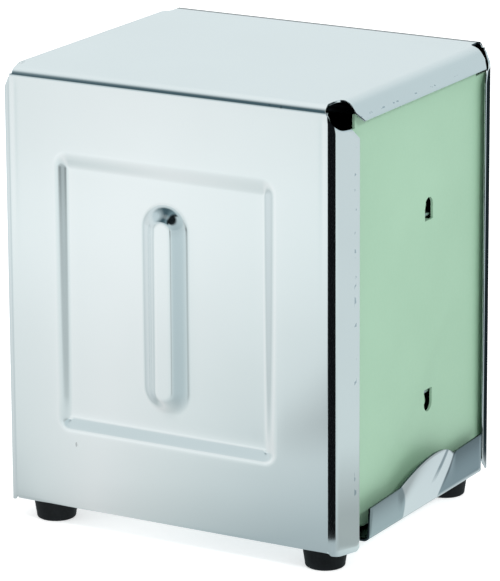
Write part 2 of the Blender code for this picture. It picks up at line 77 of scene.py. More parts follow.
FLANGE_TURN = math.radians(71)
FLANGE_LENGTH = 10.05 * MM
FLANGE_DROP = 0.6 * MM
HOOD_TURN = math.radians(55)
HOOD_LENGTH = 7.2 * MM
HOOD_RADIUS = 4.05 * MM
HOOD_RELIEF = (2.6 * MM, 8.4 * MM)
FLANGE_RELIEF = (6.0 * MM, 6.9 * MM)
CORNER_CUT = 3.1 * MM
CORNER_HOLE = (51.9 * MM, 56.6 * MM, 39.96 * MM)
CORNER_HOLE_RADIUS = 2.4 * MM
CORNER_HOLE_LOW = 2.1 * MM
HOOD_TIP_SLOPE = 0.75
WEAR_LINE = (57.75 * MM, 58.2 * MM)
REAR_CUT_RISE = 4.8 * MM

# The pressed panel and its rib. The ROUND values are the shares of a slope that its two round ends take up.
PANEL_OUTER = (37.6 * MM, 43.3 * MM)
PANEL_BAND = (5.4 * MM, 5.8 * MM)
LOWER_BAND = 7.0 * MM
PANEL_CORNER = 5.0 * MM
PANEL_DEPTH = 1.05 * MM
PANEL_ROUND = (0.5, 0.3)
PANEL_SHIFT_END = 49 * MM
RIB_HALF_WIDTH = 8.3 * MM
RIB_HALF_HEIGHT = 32.2 * MM
RIB_SHIFT = (-0.9 * MM, -0.7 * MM)
RIB_FLAT_HALF = 2.3 * MM
RIB_RISE = 2.25 * MM
RIB_ROUND = (0.55, 0.30)
FOLD_RIPPLE = 0.05 * MM

# The tray.
TRAY_BOTTOM = TRAY_LOW.z
TRAY_HALF_DEPTH = 46 * MM
MOUTH_HALF_DEPTH = 38.5 * MM
LIP_HALF_WIDTH = 37 * MM
LIP_OUT = 4.5 * MM
LIP_FLARE = 0.3 * MM
LIP_TOP = 12.8 * MM
TONGUE_HALF_WIDTH = 17.5 * MM
TONGUE_OUT = 2.15 * MM
TONGUE_RISE = 5.3 * MM
LIP_SKEW_OUT = 0.7 * MM
LIP_SKEW_UP = 1.0 * MM

# Painted dark reflections on the lips, which are the only metal past LIPS_PAST. A streak is its middle, half
# width and lower end.
LIPS_PAST = BODY_WIDTH / 2 + 2 * MM
CREASE_LEAN = 0.95
TONGUE_REFLECTION_STREAKS = ((-4.8 * MM, 2.1 * MM, 8 * MM), (5.6 * MM, 1.5 * MM, 4 * MM))

# The follower plates and the spring.
PLATE = 0.8 * MM
PLATE_FACE = PLATE_HIGH.x
PLATE_HALF_WIDTH = PLATE_HIGH.y
PLATE_RIM = 4.0 * MM
PLATE_EAR = (37.7 * MM, 5.3 * MM)
PLATE_RIM_HALF = 31 * MM
HOOK_Y = 8.0 * MM
HOOK_WIDTH = 5.0 * MM
HOOK_HEIGHT = 6.9 * MM
WIRE = 1.4 * MM
SPRING_MIDDLE = (SPRING_LOW.z + SPRING_HIGH.z) / 2
SPRING_RADIUS = 27.2 * MM
RING_X = PLATE_FACE - PLATE - 0.3 * MM - WIRE / 2
END_RING = math.radians(300)
START_ANGLE = math.radians(60)
SPRING_TURN = math.radians(2940)

# The feet.
FOOT_X = BODY_WIDTH / 2 - 8.8 * MM
FOOT_Y = HALF_DEPTH - 11 * MM
FOOT_HOLE = 1.8 * MM
CORNERS = {f"{y_name}_{x_name}": Vector((x * FOOT_X, y * FOOT_Y, 0))
           for x, x_name in ((-1, "left"), (1, "right")) for y, y_name in ((-1, "front"), (1, "rear"))}


# ---------------------------------------------------------------- node and mesh helpers


def srgb(red, green, blue):
    """Linear colour of an 8-bit screen colour."""
    return tuple(((v / 255 + 0.055) / 1.055) ** 2.4 if v > 10 else v / 3294.6 for v in (red, green, blue))


class Nodes:
    """Short calls for building one node tree."""

    def __init__(self, tree):
        self.tree = tree
        self.tree.nodes.clear()

    def add(self, kind, inputs=None, **settings):
        node = self.tree.nodes.new(kind)
        for name, value in settings.items():
            setattr(node, name, value)
        for socket, value in (inputs or {}).items():
            self.put(node.inputs[socket], value)
        return node

    def put(self, socket, value):
        if isinstance(value, bpy.types.NodeSocket):
            self.tree.links.new(value, socket)
        elif isinstance(value, tuple) and socket.type == "RGBA":
            socket.default_value = (*value[:3], 1.0)
        else:
            socket.default_value = value

    def math(self, operation, *values):
        node = self.add("ShaderNodeMath", operation=operation)
        for i, value in enumerate(values):
            self.put(node.inputs[i], value)
        return node.outputs[0]

    def object_point(self, scale=(1, 1, 1)):
        coords = self.add("ShaderNodeTexCoord").outputs["Object"]
        return self.add("ShaderNodeMapping", {"Vector": coords, "Scale": scale}).outputs[0]

    def parts(self, vector=None):
        """The X, Y and Z outputs of a vector, or else of the object position."""
        source = self.object_point() if vector is None else vector
        return self.add("ShaderNodeSeparateXYZ", {"Vector": source}).outputs

    def true_normal(self):
        return self.add("ShaderNodeNewGeometry").outputs["True Normal"]

    def times(self, *values):
        """The values multiplied together."""
        total = values[0]
        for value in values[1:]:
            total = self.math("MULTIPLY", total, value)
        return total

    def away(self, value, centre=0.0):
        """How far a value is from a centre, either way."""
        return self.math("ABSOLUTE", self.math("SUBTRACT", value, centre))

    def over(self, value, limit):
        return self.math("GREATER_THAN", value, limit)

    def under(self, value, limit):
        return self.math("LESS_THAN", value, limit)

    def inside(self):
        """1 on the sheet's hidden side, in the chamber between the plates, and 0 everywhere else; it marks
        where painted shade darkens the steel.
        """
        point = self.object_point()
        centred = self.add("ShaderNodeVectorMath", {0: point, 1: (0, 0, PANEL_CENTRE)}, operation="SUBTRACT")
        facing = self.add("ShaderNodeVectorMath", {0: self.true_normal(), 1: centred.outputs[0]},
                          operation="DOT_PRODUCT")
        parts = self.parts(point)
        return self.times(self.under(facing.outputs["Value"], 0.0),
                          self.over(parts["Z"], BODY_BOTTOM + 2 * MM),
                          self.under(self.away(parts["X"]), EDGE_X + 0.6 * MM))

    def painted_edge_shade(self):
        """The raw cut edges round the lips, along their tops and at their ends, darkened with painted shade.
        """
        facing = self.parts(self.true_normal())
        edge = self.math("MAXIMUM", self.over(facing["Z"], 0.6), self.over(self.away(facing["Y"]), 0.6))
        low = self.under(self.parts()["Z"], BODY_BOTTOM + LIP_TOP + TONGUE_RISE + 2 * MM)
        return self.times(edge, low)

    def rear_fold_shade(self):
        """A thin line of painted shade along the top's rear fold."""
        parts = self.parts()
        line = self.span(parts["Y"], HALF_DEPTH - FOLD_RADIUS - 1.3 * MM, HALF_DEPTH - FOLD_RADIUS - 0.9 * MM)
        return self.times(line, self.under(parts["Y"], HALF_DEPTH - 1.6 * MM),
                          self.over(parts["Z"], BODY_TOP - 1.5 * MM))

    def near_lip_dark_reflection(self):
        """The flat part of the lips before the tongue, up to a soft curved boundary, where a darker painted
        reflection goes.
        """
        parts = self.parts()
        height = self.math("SUBTRACT", parts["Z"], BODY_BOTTOM + LIP_TOP / 2)
        bulge = self.math("SUBTRACT", 2.2 * MM, self.times(height, height, 2.6 * MM / (LIP_TOP / 2) ** 2))
        along = self.math("SUBTRACT", bulge, parts["Y"])
        return self.span(along, TONGUE_HALF_WIDTH - 1.0 * MM, TONGUE_HALF_WIDTH - 0.3 * MM)

    def leaning(self, parts):
        """Distance along the lips, measured across lines that lean with the tongue's far crease."""
        rise = self.math("SUBTRACT", parts["Z"], BODY_BOTTOM)
        return self.math("SUBTRACT", parts["Y"], self.times(rise, CREASE_LEAN))

    def far_lip_dark_reflection(self):
        """The flat part of the lips past the tongue, above the bend, behind the leaning crease, where a
        darker painted reflection goes.
        """
        parts = self.parts()
        return self.times(self.span(self.leaning(parts), 4.4 * MM, 5.3 * MM),
                          self.span(parts["Z"], BODY_BOTTOM + 2.0 * MM, BODY_BOTTOM + 3.2 * MM))

    def tongue_reflection_streaks(self):
        """Two leaning streaks of painted dark reflection at the tongue's far end, fading downward."""
        parts = self.parts()
        lean = self.leaning(parts)
        total = 0.0
        for middle, half, low in TONGUE_REFLECTION_STREAKS:
            band = self.span(self.away(lean, middle), 0.4 * half, half, 1.0, 0.0)
            fade = self.span(parts["Z"], BODY_BOTTOM + low, BODY_BOTTOM + low + 4 * MM)
            total = self.math("MAXIMUM", total, self.times(band, fade))
        return total

    def on_lips(self, mask):
        """A mask kept to the upright lips, off the tray's floor."""
        return self.times(mask, self.over(self.away(self.parts()["X"]), LIPS_PAST))

    def worn_edge(self):
        """Short dull dashes just inside the free edges of the flanges and hoods."""
        parts = self.parts()
        at_hood = self.over(parts["Z"], BODY_TOP - 8 * MM)
        edge = self.math("ADD", WEAR_LINE[0], self.times(at_hood, WEAR_LINE[1] - WEAR_LINE[0]))
        near = self.under(self.away(self.away(parts["X"]), edge), 0.13 * MM)
        return self.times(near, self.over(self.noise(1.0, (900, 420, 420), 2.0), 0.62))

    def noise(self, scale, stretch=(1, 1, 1), detail=3.0):
        texture = self.add("ShaderNodeTexNoise", {"Vector": self.object_point(stretch), "Scale": scale,
                                                  "Detail": detail})
        return texture.outputs["Fac"]

    def ramp(self, value, stops, blend="LINEAR"):
        """Colours by value; stops are (position, colour or grey level)."""
        node = self.add("ShaderNodeValToRGB", {"Fac": value})
        node.color_ramp.interpolation = blend
        elements = node.color_ramp.elements
        elements.remove(elements[-1])
        elements[0].position = stops[0][0]
        for position, _ in stops[1:]:
            elements.new(position)
        for element, (_, colour) in zip(sorted(elements, key=lambda e: e.position), stops):
            element.color = (*colour, 1.0) if isinstance(colour, tuple) else (colour, colour, colour, 1.0)
        return node.outputs["Color"]

    def mixed(self, first, second, share, blend="MIX"):
        node = self.add("ShaderNodeMix", data_type="RGBA", blend_type=blend)
        for socket, value in (("Factor", share), ("A", first), ("B", second)):
            self.put([i for i in node.inputs if i.name == socket and i.enabled][0], value)
        return [o for o in node.outputs if o.enabled][0]

    def tinted(self, colour, by, share):
        """The colour multiplied by another, as far as the share says."""
        return self.mixed(colour, by, share, "MULTIPLY")

    def span(self, value, low, high, out_low=0.0, out_high=1.0):
        node = self.add("ShaderNodeMapRange", {"Value": value, "From Min": low, "From Max": high,
                                               "To Min": out_low, "To Max": out_high})
        return node.outputs["Result"]

    def bump(self, height, strength, distance, normal=None):
        node = self.add("ShaderNodeBump", {"Height": height, "Strength": strength, "Distance": distance})
        if normal is not None:
            self.put(node.inputs["Normal"], normal)
        return node.outputs["Normal"]

    def surface(self, kind, inputs, output="ShaderNodeOutputMaterial"):
        """The shader that the tree ends in."""
        self.add(output, {"Surface": self.add(kind, inputs).outputs[0]})


def material(name):
    made = bpy.data.materials.new(name)
    made.use_nodes = True
    return made, Nodes(made.node_tree)


def link_object(name, data):
    obj = bpy.data.objects.new(name, data)
    bpy.context.scene.collection.objects.link(obj)
    return obj


def new_piece(name, mesh, finish, body, slot, *nodes):
    """A finished mesh that rides on a body and stands for CAD nodes."""
    mesh.materials.clear()
    mesh.materials.append(finish)
    obj = link_object(name, mesh)
    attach(obj, body)
    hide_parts(*nodes)
    return obj


def cleaned(bm, name, merge=0.002 * MM):
    bmesh.ops.remove_doubles(bm, verts=bm.verts, dist=merge)
    mesh = bpy.data.meshes.new(name)
    bm.to_mesh(mesh)
    bm.free()
    mesh.shade_smooth()
    return mesh


def evaluated_mesh(obj, sharp):
    """The object's finished mesh, with sharp edges marked by angle; the object is removed."""
    bpy.context.view_layer.update()
    done = bpy.data.meshes.new_from_object(obj.evaluated_get(bpy.context.evaluated_depsgraph_get()))
    bpy.data.objects.remove(obj)
    done.shade_smooth()
    done.set_sharp_from_angle(angle=math.radians(sharp))
    return done


def linked(bm, name):
    return link_object(name, cleaned(bm, name))


def discard(*objects):
    for obj in objects:
        bpy.data.objects.remove(obj)


def applied(mesh, *steps, sharp=38):
    """The mesh after a list of (modifier kind, settings), with sharp edges marked by angle."""
    obj = link_object("working", mesh)
    for kind, settings in steps:
        modifier = obj.modifiers.new(kind, kind)
        for name, value in settings.items():
            setattr(modifier, name, value)
    return evaluated_mesh(obj, sharp)


def rounded(width, segments=2, angle=50):
    return "BEVEL", {"width": width, "segments": segments, "limit_method": "ANGLE",
                     "angle_limit": math.radians(angle), "use_clamp_overlap": True}


def cut_by(tool, operation="DIFFERENCE"):
    return "BOOLEAN", {"operation": operation, "object": tool, "solver": "EXACT"}


def thickened(thickness):
    return "SOLIDIFY", {"thickness": thickness, "offset": -1, "use_even_offset": True,
                        "use_quality_normals": True}


def add_sheet(bm, columns, rows, place, keep=lambda u, v: True):
    """A grid with a line at every column and row value, bent to shape by place(u, v)."""
    verts = {}

    def vert(i, j):
        if (i, j) not in verts:
            verts[i, j] = bm.verts.new(place(columns[i], rows[j]))
        return verts[i, j]

    for i in range(len(columns) - 1):
        for j in range(len(rows) - 1):
            if keep((columns[i] + columns[i + 1]) / 2, (rows[j] + rows[j + 1]) / 2):
                bm.faces.new((vert(i, j), vert(i + 1, j), vert(i + 1, j + 1), vert(i, j + 1)))


def add_prism(bm, outline, along):
    """An outline of points in one plane, extruded along a vector."""
    face = bm.faces.new([bm.verts.new(point) for point in outline])
    made = bmesh.ops.extrude_face_region(bm, geom=[face])
    bmesh.ops.translate(bm, vec=along, verts=[v for v in made["geom"] if isinstance(v, bmesh.types.BMVert)])


def spread(start, stop, step):
    """Even values from start to stop, about step apart, both ends included."""
    count = max(1, round(abs(stop - start) / step))
    return [start + (stop - start) * i / count for i in range(count + 1)]


def joined(*runs):
    """Runs of values end to end, without repeating the shared ends."""
    values = list(runs[0])
    for run in runs[1:]:
        values += run[1:]
    return values


def mirrored_values(half):
    return [-v for v in reversed(half[1:])] + list(half)


def eased(t):
    t = min(1.0, max(0.0, t))
    return t * t * (3 - 2 * t)


# ---------------------------------------------------------------- materials


def steel_material(name, tint, rough_low, rough_high, grain, grain_strength, speck=0.0, is_tray=False):
    """Metal with soft cloudy roughness, faint grain one way and a few fine specks, and painted shade: near
    black inside the chamber, a dark line along the rear fold, and darker painted reflections on the lips.
    """
    made, n = material(name)
    cloud = n.noise(38.0, detail=4.0)
    fine_grain = n.noise(1.0, grain, 2.0)
    long_wave = n.noise(9.0, detail=1.0)
    rough = n.span(n.math("ADD", n.times(cloud, 0.7), n.times(fine_grain, 0.3)),
                   0.3, 0.7, rough_low, rough_high)
    dots = n.add("ShaderNodeTexVoronoi", {"Vector": n.object_point((1, 1, 0.45)), "Scale": 260.0})
    hit = n.times(n.under(dots.outputs["Distance"], 0.09), n.over(n.noise(70.0, detail=2.0), 0.70))
    dark, dull = (tuple(v * share for v in tint) for share in (0.25, 0.93))
    colour = n.ramp(n.math("SUBTRACT", n.span(cloud, 0.2, 0.8, 0.9, 1.0), n.times(hit, speck)),
                    [(0.0, dark), (0.75, dull), (1.0, tint)])
    # Painted shade: the hidden inside of the sheet is darkened to near black.
    colour = n.tinted(colour, (0.05, 0.055, 0.06), n.inside())
    if is_tray:
        # Painted shade along the lips' cut edges.
        colour = n.tinted(colour, (0.10, 0.12, 0.13), n.on_lips(n.painted_edge_shade()))
        # Painted reflections: the lips' flat parts are darkened on both sides of the tongue.
        colour = n.tinted(colour, (0.50, 0.57, 0.59), n.on_lips(n.near_lip_dark_reflection()))
        colour = n.tinted(colour, (0.29, 0.36, 0.39), n.on_lips(n.far_lip_dark_reflection()))
        # Painted reflections: two dark streaks on the tongue.
        colour = n.tinted(colour, (0.30, 0.36, 0.39), n.on_lips(n.tongue_reflection_streaks()))
    else:
        colour = n.tinted(colour, (0.60, 0.66, 0.70), n.worn_edge())
        # Painted shade: a dark line along the top's rear fold.
        colour = n.tinted(colour, (0.04, 0.05, 0.06), n.rear_fold_shade())
    normal = n.bump(fine_grain, grain_strength, 0.02 * MM)
    normal = n.bump(long_wave, 0.25, 0.25 * MM, normal)
    n.surface("ShaderNodeBsdfPrincipled", {"Base Color": colour, "Metallic": 1.0, "Roughness": rough,
                                           "Normal": normal})
    return made


def mint_material():
    """Satin powder coat with a very fine orange peel."""
    made, n = material("mint_powder_coat")
    peel = n.noise(900.0, detail=2.0)
    cloud = n.noise(25.0)
    colour = n.ramp(cloud, [(0.3, srgb(142, 176, 152)), (0.7, srgb(147, 181, 157))])
    rough = n.span(peel, 0.3, 0.7, 0.40, 0.50)
    n.surface("ShaderNodeBsdfPrincipled", {"Base Color": colour, "Roughness": rough,
                                           "Normal": n.bump(peel, 0.12, 0.03 * MM),
                                           "Specular IOR Level": 0.45})
    return made


def rubber_material():
    made, n = material("black_rubber")
    grain = n.noise(1500.0, detail=2.0)
    dust = n.noise(120.0, detail=4.0)
    colour = n.ramp(dust, [(0.35, srgb(10, 13, 15)), (0.75, srgb(22, 26, 29))])
    rough = n.span(grain, 0.3, 0.7, 0.42, 0.62)
    n.surface("ShaderNodeBsdfPrincipled", {"Base Color": colour, "Roughness": rough,
                                           "Normal": n.bump(grain, 0.25, 0.03 * MM),
                                           "Specular IOR Level": 0.2})
    return made


# ---------------------------------------------------------------- wrapper


def bent(distance, start, turn, radius):
    """(out, in) position at a distance past start along a sheet that bends by turn, then runs straight."""
    if distance <= start:
        return distance, 0.0
    bend = radius * turn
    angle = min(distance - start, bend) / radius
    straight = max(0.0, distance - start - bend)
    out = start + radius * math.sin(angle) + straight * math.cos(turn)
    return out, radius * (1 - math.cos(angle)) + straight * math.sin(turn)


def flat_start(turn, radius):
    return BODY_WIDTH / 2 - radius * math.tan(turn / 2)


def blank_edge(turn, radius, length):
    return flat_start(turn, radius) + radius * turn + length - radius * math.tan(turn / 2)


EDGE_X = flat_start(FLANGE_TURN, FOLD_RADIUS)
FLANGE_EDGE = blank_edge(FLANGE_TURN, FOLD_RADIUS, FLANGE_LENGTH)
HOOD_START = flat_start(HOOD_TURN, HOOD_RADIUS)
HOOD_EDGE = blank_edge(HOOD_TURN, HOOD_RADIUS, HOOD_LENGTH)
FOLD_SAVING = FOLD_RADIUS * (1 - math.pi / 4)


def relief(distance, size, edge, slope=1.0):
    """How far a flange or hood is cut back, by the round corner hole and its own clipped tip."""
    width, height = size
    across = min(1.0, max(0.0, (distance - EDGE_X) / width))
    hole = FOLD_SAVING + height * math.sqrt(1 - (1 - across) ** 2)
    return max(FOLD_RADIUS, hole) + slope * max(0.0, distance - (edge - CORNER_CUT))


def relief_columns(width, count):
    """Column values that follow the corner hole's round, close together where it is steep."""
    return [EDGE_X + width * (1 - math.cos(math.pi / 2 * i / count)) for i in range(count + 1)]


def pressed_step(t, rounds):
    """Height across a pressed step, 0 to 1; rounds are the shares its two round ends take up."""
    t = min(1.0, max(0.0, t))
    start, end = rounds
    slope = 1 / (1 - start / 2 - end / 2)
    if t < start:
        return slope * t * t / (2 * start)
    if t > 1 - end:
        return 1 - slope * (1 - t) ** 2 / (2 * end)
    return slope * (t - start / 2)


def pressed(x, z):
    """How far the panel stands back from flat at x across and z above its centre."""
    ax, az = abs(x), abs(z)
    over_x = ax - (PANEL_OUTER[0] - PANEL_CORNER)
    over_z = az - (PANEL_OUTER[1] - PANEL_CORNER)
    level_band = LOWER_BAND if z < 0 else PANEL_BAND[1]
    if over_x > 0 and over_z > 0:
        round_corner = math.hypot(over_x, over_z)
        band = PANEL_BAND[0] + (level_band - PANEL_BAND[0]) * (over_z / round_corner) ** 2
        inside = (PANEL_CORNER - round_corner) / band
    else:
        inside = min((PANEL_OUTER[0] - ax) / PANEL_BAND[0], (PANEL_OUTER[1] - az) / level_band)
    lower = min(1.0, max(0.0, (-z - RIB_HALF_HEIGHT) / (5 * MM)))
    back = PANEL_DEPTH * (pressed_step(inside, PANEL_ROUND) * (1 - lower) + eased(inside) * lower)
    from_rib = math.hypot(x, max(0.0, abs(z - RIB_SHIFT[1]) - (RIB_HALF_HEIGHT - RIB_HALF_WIDTH)))
    back -= RIB_RISE * pressed_step((RIB_HALF_WIDTH - from_rib) / (RIB_HALF_WIDTH - RIB_FLAT_HALF), RIB_ROUND)
    near_fold = math.exp(-(((EDGE_X - 1.5 * MM) - ax) / (0.8 * MM)) ** 2)
    return back + FOLD_RIPPLE * near_fold * eased((z + 5 * MM) / (60 * MM))


def wrap_point(x, path):
    """A point on the outer face, path along the wrap from the return flange's edge."""
    flat = RETURN_FLANGE - HEM_RADIUS
    if path <= flat:
        return Vector((x, -HALF_DEPTH + RETURN_FLANGE - path, BODY_BOTTOM))
    path -= flat
    hem = HEM_RADIUS * math.pi / 2
    if path <= hem:
        angle = path / HEM_RADIUS
        return Vector((x, -HALF_DEPTH + HEM_RADIUS * (1 - math.sin(angle)),
                       BODY_BOTTOM + HEM_RADIUS * (1 - math.cos(angle))))
    path -= hem
    face = BODY_HEIGHT - HEM_RADIUS - FOLD_RADIUS
    if path <= face:
        z = BODY_BOTTOM + HEM_RADIUS + path
        return Vector((x, -HALF_DEPTH + pressed(x, z - PANEL_CENTRE), z))
    path -= face
    fold = FOLD_RADIUS * math.pi / 2
    if path <= fold:
        angle = path / FOLD_RADIUS
        return Vector((x, -HALF_DEPTH + FOLD_RADIUS * (1 - math.cos(angle)),
                       BODY_TOP - FOLD_RADIUS * (1 - math.sin(angle))))
    return Vector((x, -HALF_DEPTH + FOLD_RADIUS + path - fold, BODY_TOP))


def wrapper_quarter():
    """The outer face of the wrapper's front right quarter, as an open sheet."""
    face_start = RETURN_FLANGE - HEM_RADIUS + HEM_RADIUS * math.pi / 2
    face_end = face_start + BODY_HEIGHT - HEM_RADIUS - FOLD_RADIUS
    fold_end = face_end + FOLD_RADIUS * math.pi / 2
    top_end = fold_end + HALF_DEPTH - FOLD_RADIUS
    inner = PANEL_OUTER[0] - PANEL_BAND[0]
    columns = joined(spread(0, RIB_FLAT_HALF, 0.9 * MM), spread(RIB_FLAT_HALF, RIB_HALF_WIDTH, 0.42 * MM),
                     spread(RIB_HALF_WIDTH, inner, 2.6 * MM), spread(inner, PANEL_OUTER[0], 0.33 * MM),
                     spread(PANEL_OUTER[0], PANEL_SHIFT_END, 2.4 * MM),
                     spread(PANEL_SHIFT_END, EDGE_X, 0.35 * MM))
    middle = face_start + PANEL_CENTRE - BODY_BOTTOM - HEM_RADIUS
    rib_round = RIB_HALF_HEIGHT - RIB_HALF_WIDTH
    inner_z = PANEL_OUTER[1] - PANEL_BAND[1]
    half = joined(spread(0, rib_round, 3 * MM), spread(rib_round, RIB_HALF_HEIGHT, 0.42 * MM),
                  spread(RIB_HALF_HEIGHT, inner_z, 2 * MM), spread(inner_z, PANEL_OUTER[1], 0.37 * MM))
    face_rows = joined(spread(face_start, middle - PANEL_OUTER[1], 2 * MM),
                       [middle + v for v in mirrored_values(half)],
                       spread(middle + PANEL_OUTER[1], face_end, 2 * MM))
    top_rows = joined([fold_end], spread(fold_end, fold_end + 9 * MM, 0.6 * MM),
                      spread(fold_end + 9 * MM, top_end, 4 * MM))
    rows = joined(spread(0, RETURN_FLANGE - HEM_RADIUS, 3 * MM),
                  spread(RETURN_FLANGE - HEM_RADIUS, face_start, 0.3 * MM), face_rows,
                  spread(face_end, fold_end, 0.3 * MM), top_rows)
    bm = bmesh.new()
    add_sheet(bm, columns, rows, wrap_point)

    def flange_point(distance, path):
        share = (path - face_rows[0]) / (face_rows[-1] - face_rows[0])
        out, inward = bent(distance, EDGE_X, FLANGE_TURN, FOLD_RADIUS)
        notch = HEM_RADIUS * max(0.0, 1 - (distance - EDGE_X) / MM)
        corner = max(0.0, distance - (FLANGE_EDGE - 1.2 * MM))
        drop = FLANGE_DROP * min(1.0, (distance - EDGE_X) / (4 * MM))
        bottom = BODY_BOTTOM + notch - drop + corner ** 2 / (1.2 * MM)
        top = BODY_TOP - relief(distance, FLANGE_RELIEF, FLANGE_EDGE)
        return Vector((out, -HALF_DEPTH + inward, bottom + share * (top - bottom)))

    def hood_point(distance, path):
        share = (path - fold_end) / (top_end - fold_end)
        out, down = bent(distance, HOOD_START, HOOD_TURN, HOOD_RADIUS)
        cut = relief(distance, HOOD_RELIEF, HOOD_EDGE, HOOD_TIP_SLOPE)
        return Vector((out, (-HALF_DEPTH + cut) * (1 - share), BODY_TOP - down))

    flange_bend = EDGE_X + FOLD_RADIUS * FLANGE_TURN
    relief_side = relief_columns(FLANGE_RELIEF[0], 12)
    start = [v for v in relief_side if v < flange_bend - 0.2 * MM] + [flange_bend]
    rest = [v for v in relief_side if v > flange_bend + 0.2 * MM]
    flange_columns = joined(start + rest, spread(rest[-1], FLANGE_EDGE - CORNER_CUT, 0.8 * MM),
                            spread(FLANGE_EDGE - CORNER_CUT, FLANGE_EDGE - 1.2 * MM, 0.7 * MM),
                            spread(FLANGE_EDGE - 1.2 * MM, FLANGE_EDGE, 0.3 * MM))
    add_sheet(bm, flange_columns, face_rows, flange_point)
    hood_bend = HOOD_START + HOOD_RADIUS * HOOD_TURN
    hood_columns = joined(relief_columns(HOOD_RELIEF[0], 14),
                          spread(EDGE_X + HOOD_RELIEF[0], hood_bend, 0.3 * MM),
                          spread(hood_bend, HOOD_EDGE - CORNER_CUT, 0.8 * MM),
                          spread(HOOD_EDGE - CORNER_CUT, HOOD_EDGE, 0.8 * MM))
    add_sheet(bm, hood_columns, top_rows, hood_point)
    return cleaned(bm, "wrapper_quarter")


def hole_cutter(low, high):
    """Four cylinders through the sheet metal, one at each foot."""
    bm = bmesh.new()
    for corner in CORNERS.values():
        place = Matrix.Translation(corner + Vector((0, 0, (low + high) / 2)))
        bmesh.ops.create_cone(bm, cap_ends=True, segments=32, radius1=FOOT_HOLE, radius2=FOOT_HOLE,
                              depth=high - low, matrix=place)
    return linked(bm, "foot_hole_cutter")


def rear_flange_cutter():
    """Two slanted blocks that clip the bottoms of the rear flanges."""
    run = FLANGE_LENGTH * math.sin(FLANGE_TURN) - FOLD_RADIUS
    bm = bmesh.new()
    size = Matrix.Diagonal((6.8 * MM, 23 * MM, 10 * MM, 1))
    for side in (-1, 1):
        corner = Matrix.Translation((side * (EDGE_X + 4.2 * MM), HALF_DEPTH - FOLD_RADIUS, BODY_BOTTOM))
        slant = Matrix.Rotation(-math.atan2(REAR_CUT_RISE, run), 4, "X")
        offset = Matrix.Translation((0, -8.5 * MM, -5 * MM))
        bmesh.ops.create_cube(bm, size=1.0, matrix=corner @ slant @ offset @ size)
    return linked(bm, "rear_flange_cutter")


def corner_hole_cutter():
    """Opens the four top corners inward from the bends, so that the corner holes are round."""
    near, far, back = CORNER_HOLE
    radius = CORNER_HOLE_RADIUS
    outline = [(far, HALF_DEPTH + MM), (near + 0.35 * MM, HALF_DEPTH + MM), (near, HALF_DEPTH - FOLD_RADIUS)]
    outline += [(near + radius * (1 - math.cos(a)), back + radius * (1 - math.sin(a)))
                for a in spread(0, math.pi / 2, math.pi / 24)]
    outline.append((far, back))
    bm = bmesh.new()
    for side in (-1, 1):
        for end in (-1, 1):
            add_prism(bm, [(side * x, end * y, BODY_TOP - CORNER_HOLE_LOW) for x, y in outline],
                      (0, 0, 2 * CORNER_HOLE_LOW))
    bmesh.ops.recalc_face_normals(bm, faces=bm.faces)
    return linked(bm, "corner_hole_cutter")


def slide_panel(mesh):
    """Moves the pressed panels a little off the middle of their faces."""
    for vert in mesh.vertices:
        if abs(vert.co.y) > HALF_DEPTH - 2 * MM and abs(vert.co.z - PANEL_CENTRE) < PANEL_OUTER[1]:
            away = (abs(vert.co.x) - PANEL_OUTER[0]) / (PANEL_SHIFT_END - PANEL_OUTER[0])
            vert.co.x += RIB_SHIFT[0] * (1 - eased(away))


def make_wrapper(finish):
    holes = hole_cutter(BODY_BOTTOM - 2 * MM, BODY_BOTTOM + 4 * MM)
    clips = rear_flange_cutter()
    corners = corner_hole_cutter()
    mirror = "MIRROR", {"use_axis": (True, True, False), "merge_threshold": 0.01 * MM}
    mesh = applied(wrapper_quarter(), mirror, thickened(SHEET), cut_by(holes), cut_by(clips),
                   cut_by(corners), rounded(EDGE_ROUND))
    slide_panel(mesh)
    discard(holes, clips, corners)
    return new_piece("wrapper_shell", mesh, finish, "housing", "stainless", "body_wrapper")


# ---------------------------------------------------------------- tray


def lip_length():
    return LIP_TOP - HEM_RADIUS - (TRAY_BOTTOM - BODY_BOTTOM)


def tray_point(path, y):
    """A point on the tray's lower and outer face: along the floor, up the bend and up the lip."""
    skew = y / LIP_HALF_WIDTH
    lip_x = BODY_WIDTH / 2 + LIP_OUT
    floor_end = lip_x - HEM_RADIUS
    if path <= floor_end:
        return Vector((path, y, TRAY_BOTTOM))
    path -= floor_end
    bend = HEM_RADIUS * math.pi / 2
    shift = -LIP_SKEW_OUT * skew
    if path <= bend:
        angle = path / HEM_RADIUS
        return Vector((floor_end + HEM_RADIUS * math.sin(angle) + shift * path / bend, y,
                       TRAY_BOTTOM + HEM_RADIUS * (1 - math.cos(angle))))
    share = (path - bend) / lip_length()
    crown = max(0.0, 1 - (y / TONGUE_HALF_WIDTH) ** 2)
    base = TRAY_BOTTOM + HEM_RADIUS
    top = BODY_BOTTOM + LIP_TOP + LIP_SKEW_UP * skew + TONGUE_RISE * crown
    out = lip_x + shift + LIP_FLARE * share + TONGUE_OUT * crown * share ** 1.25
    return Vector((out, y, base + share * (top - base)))


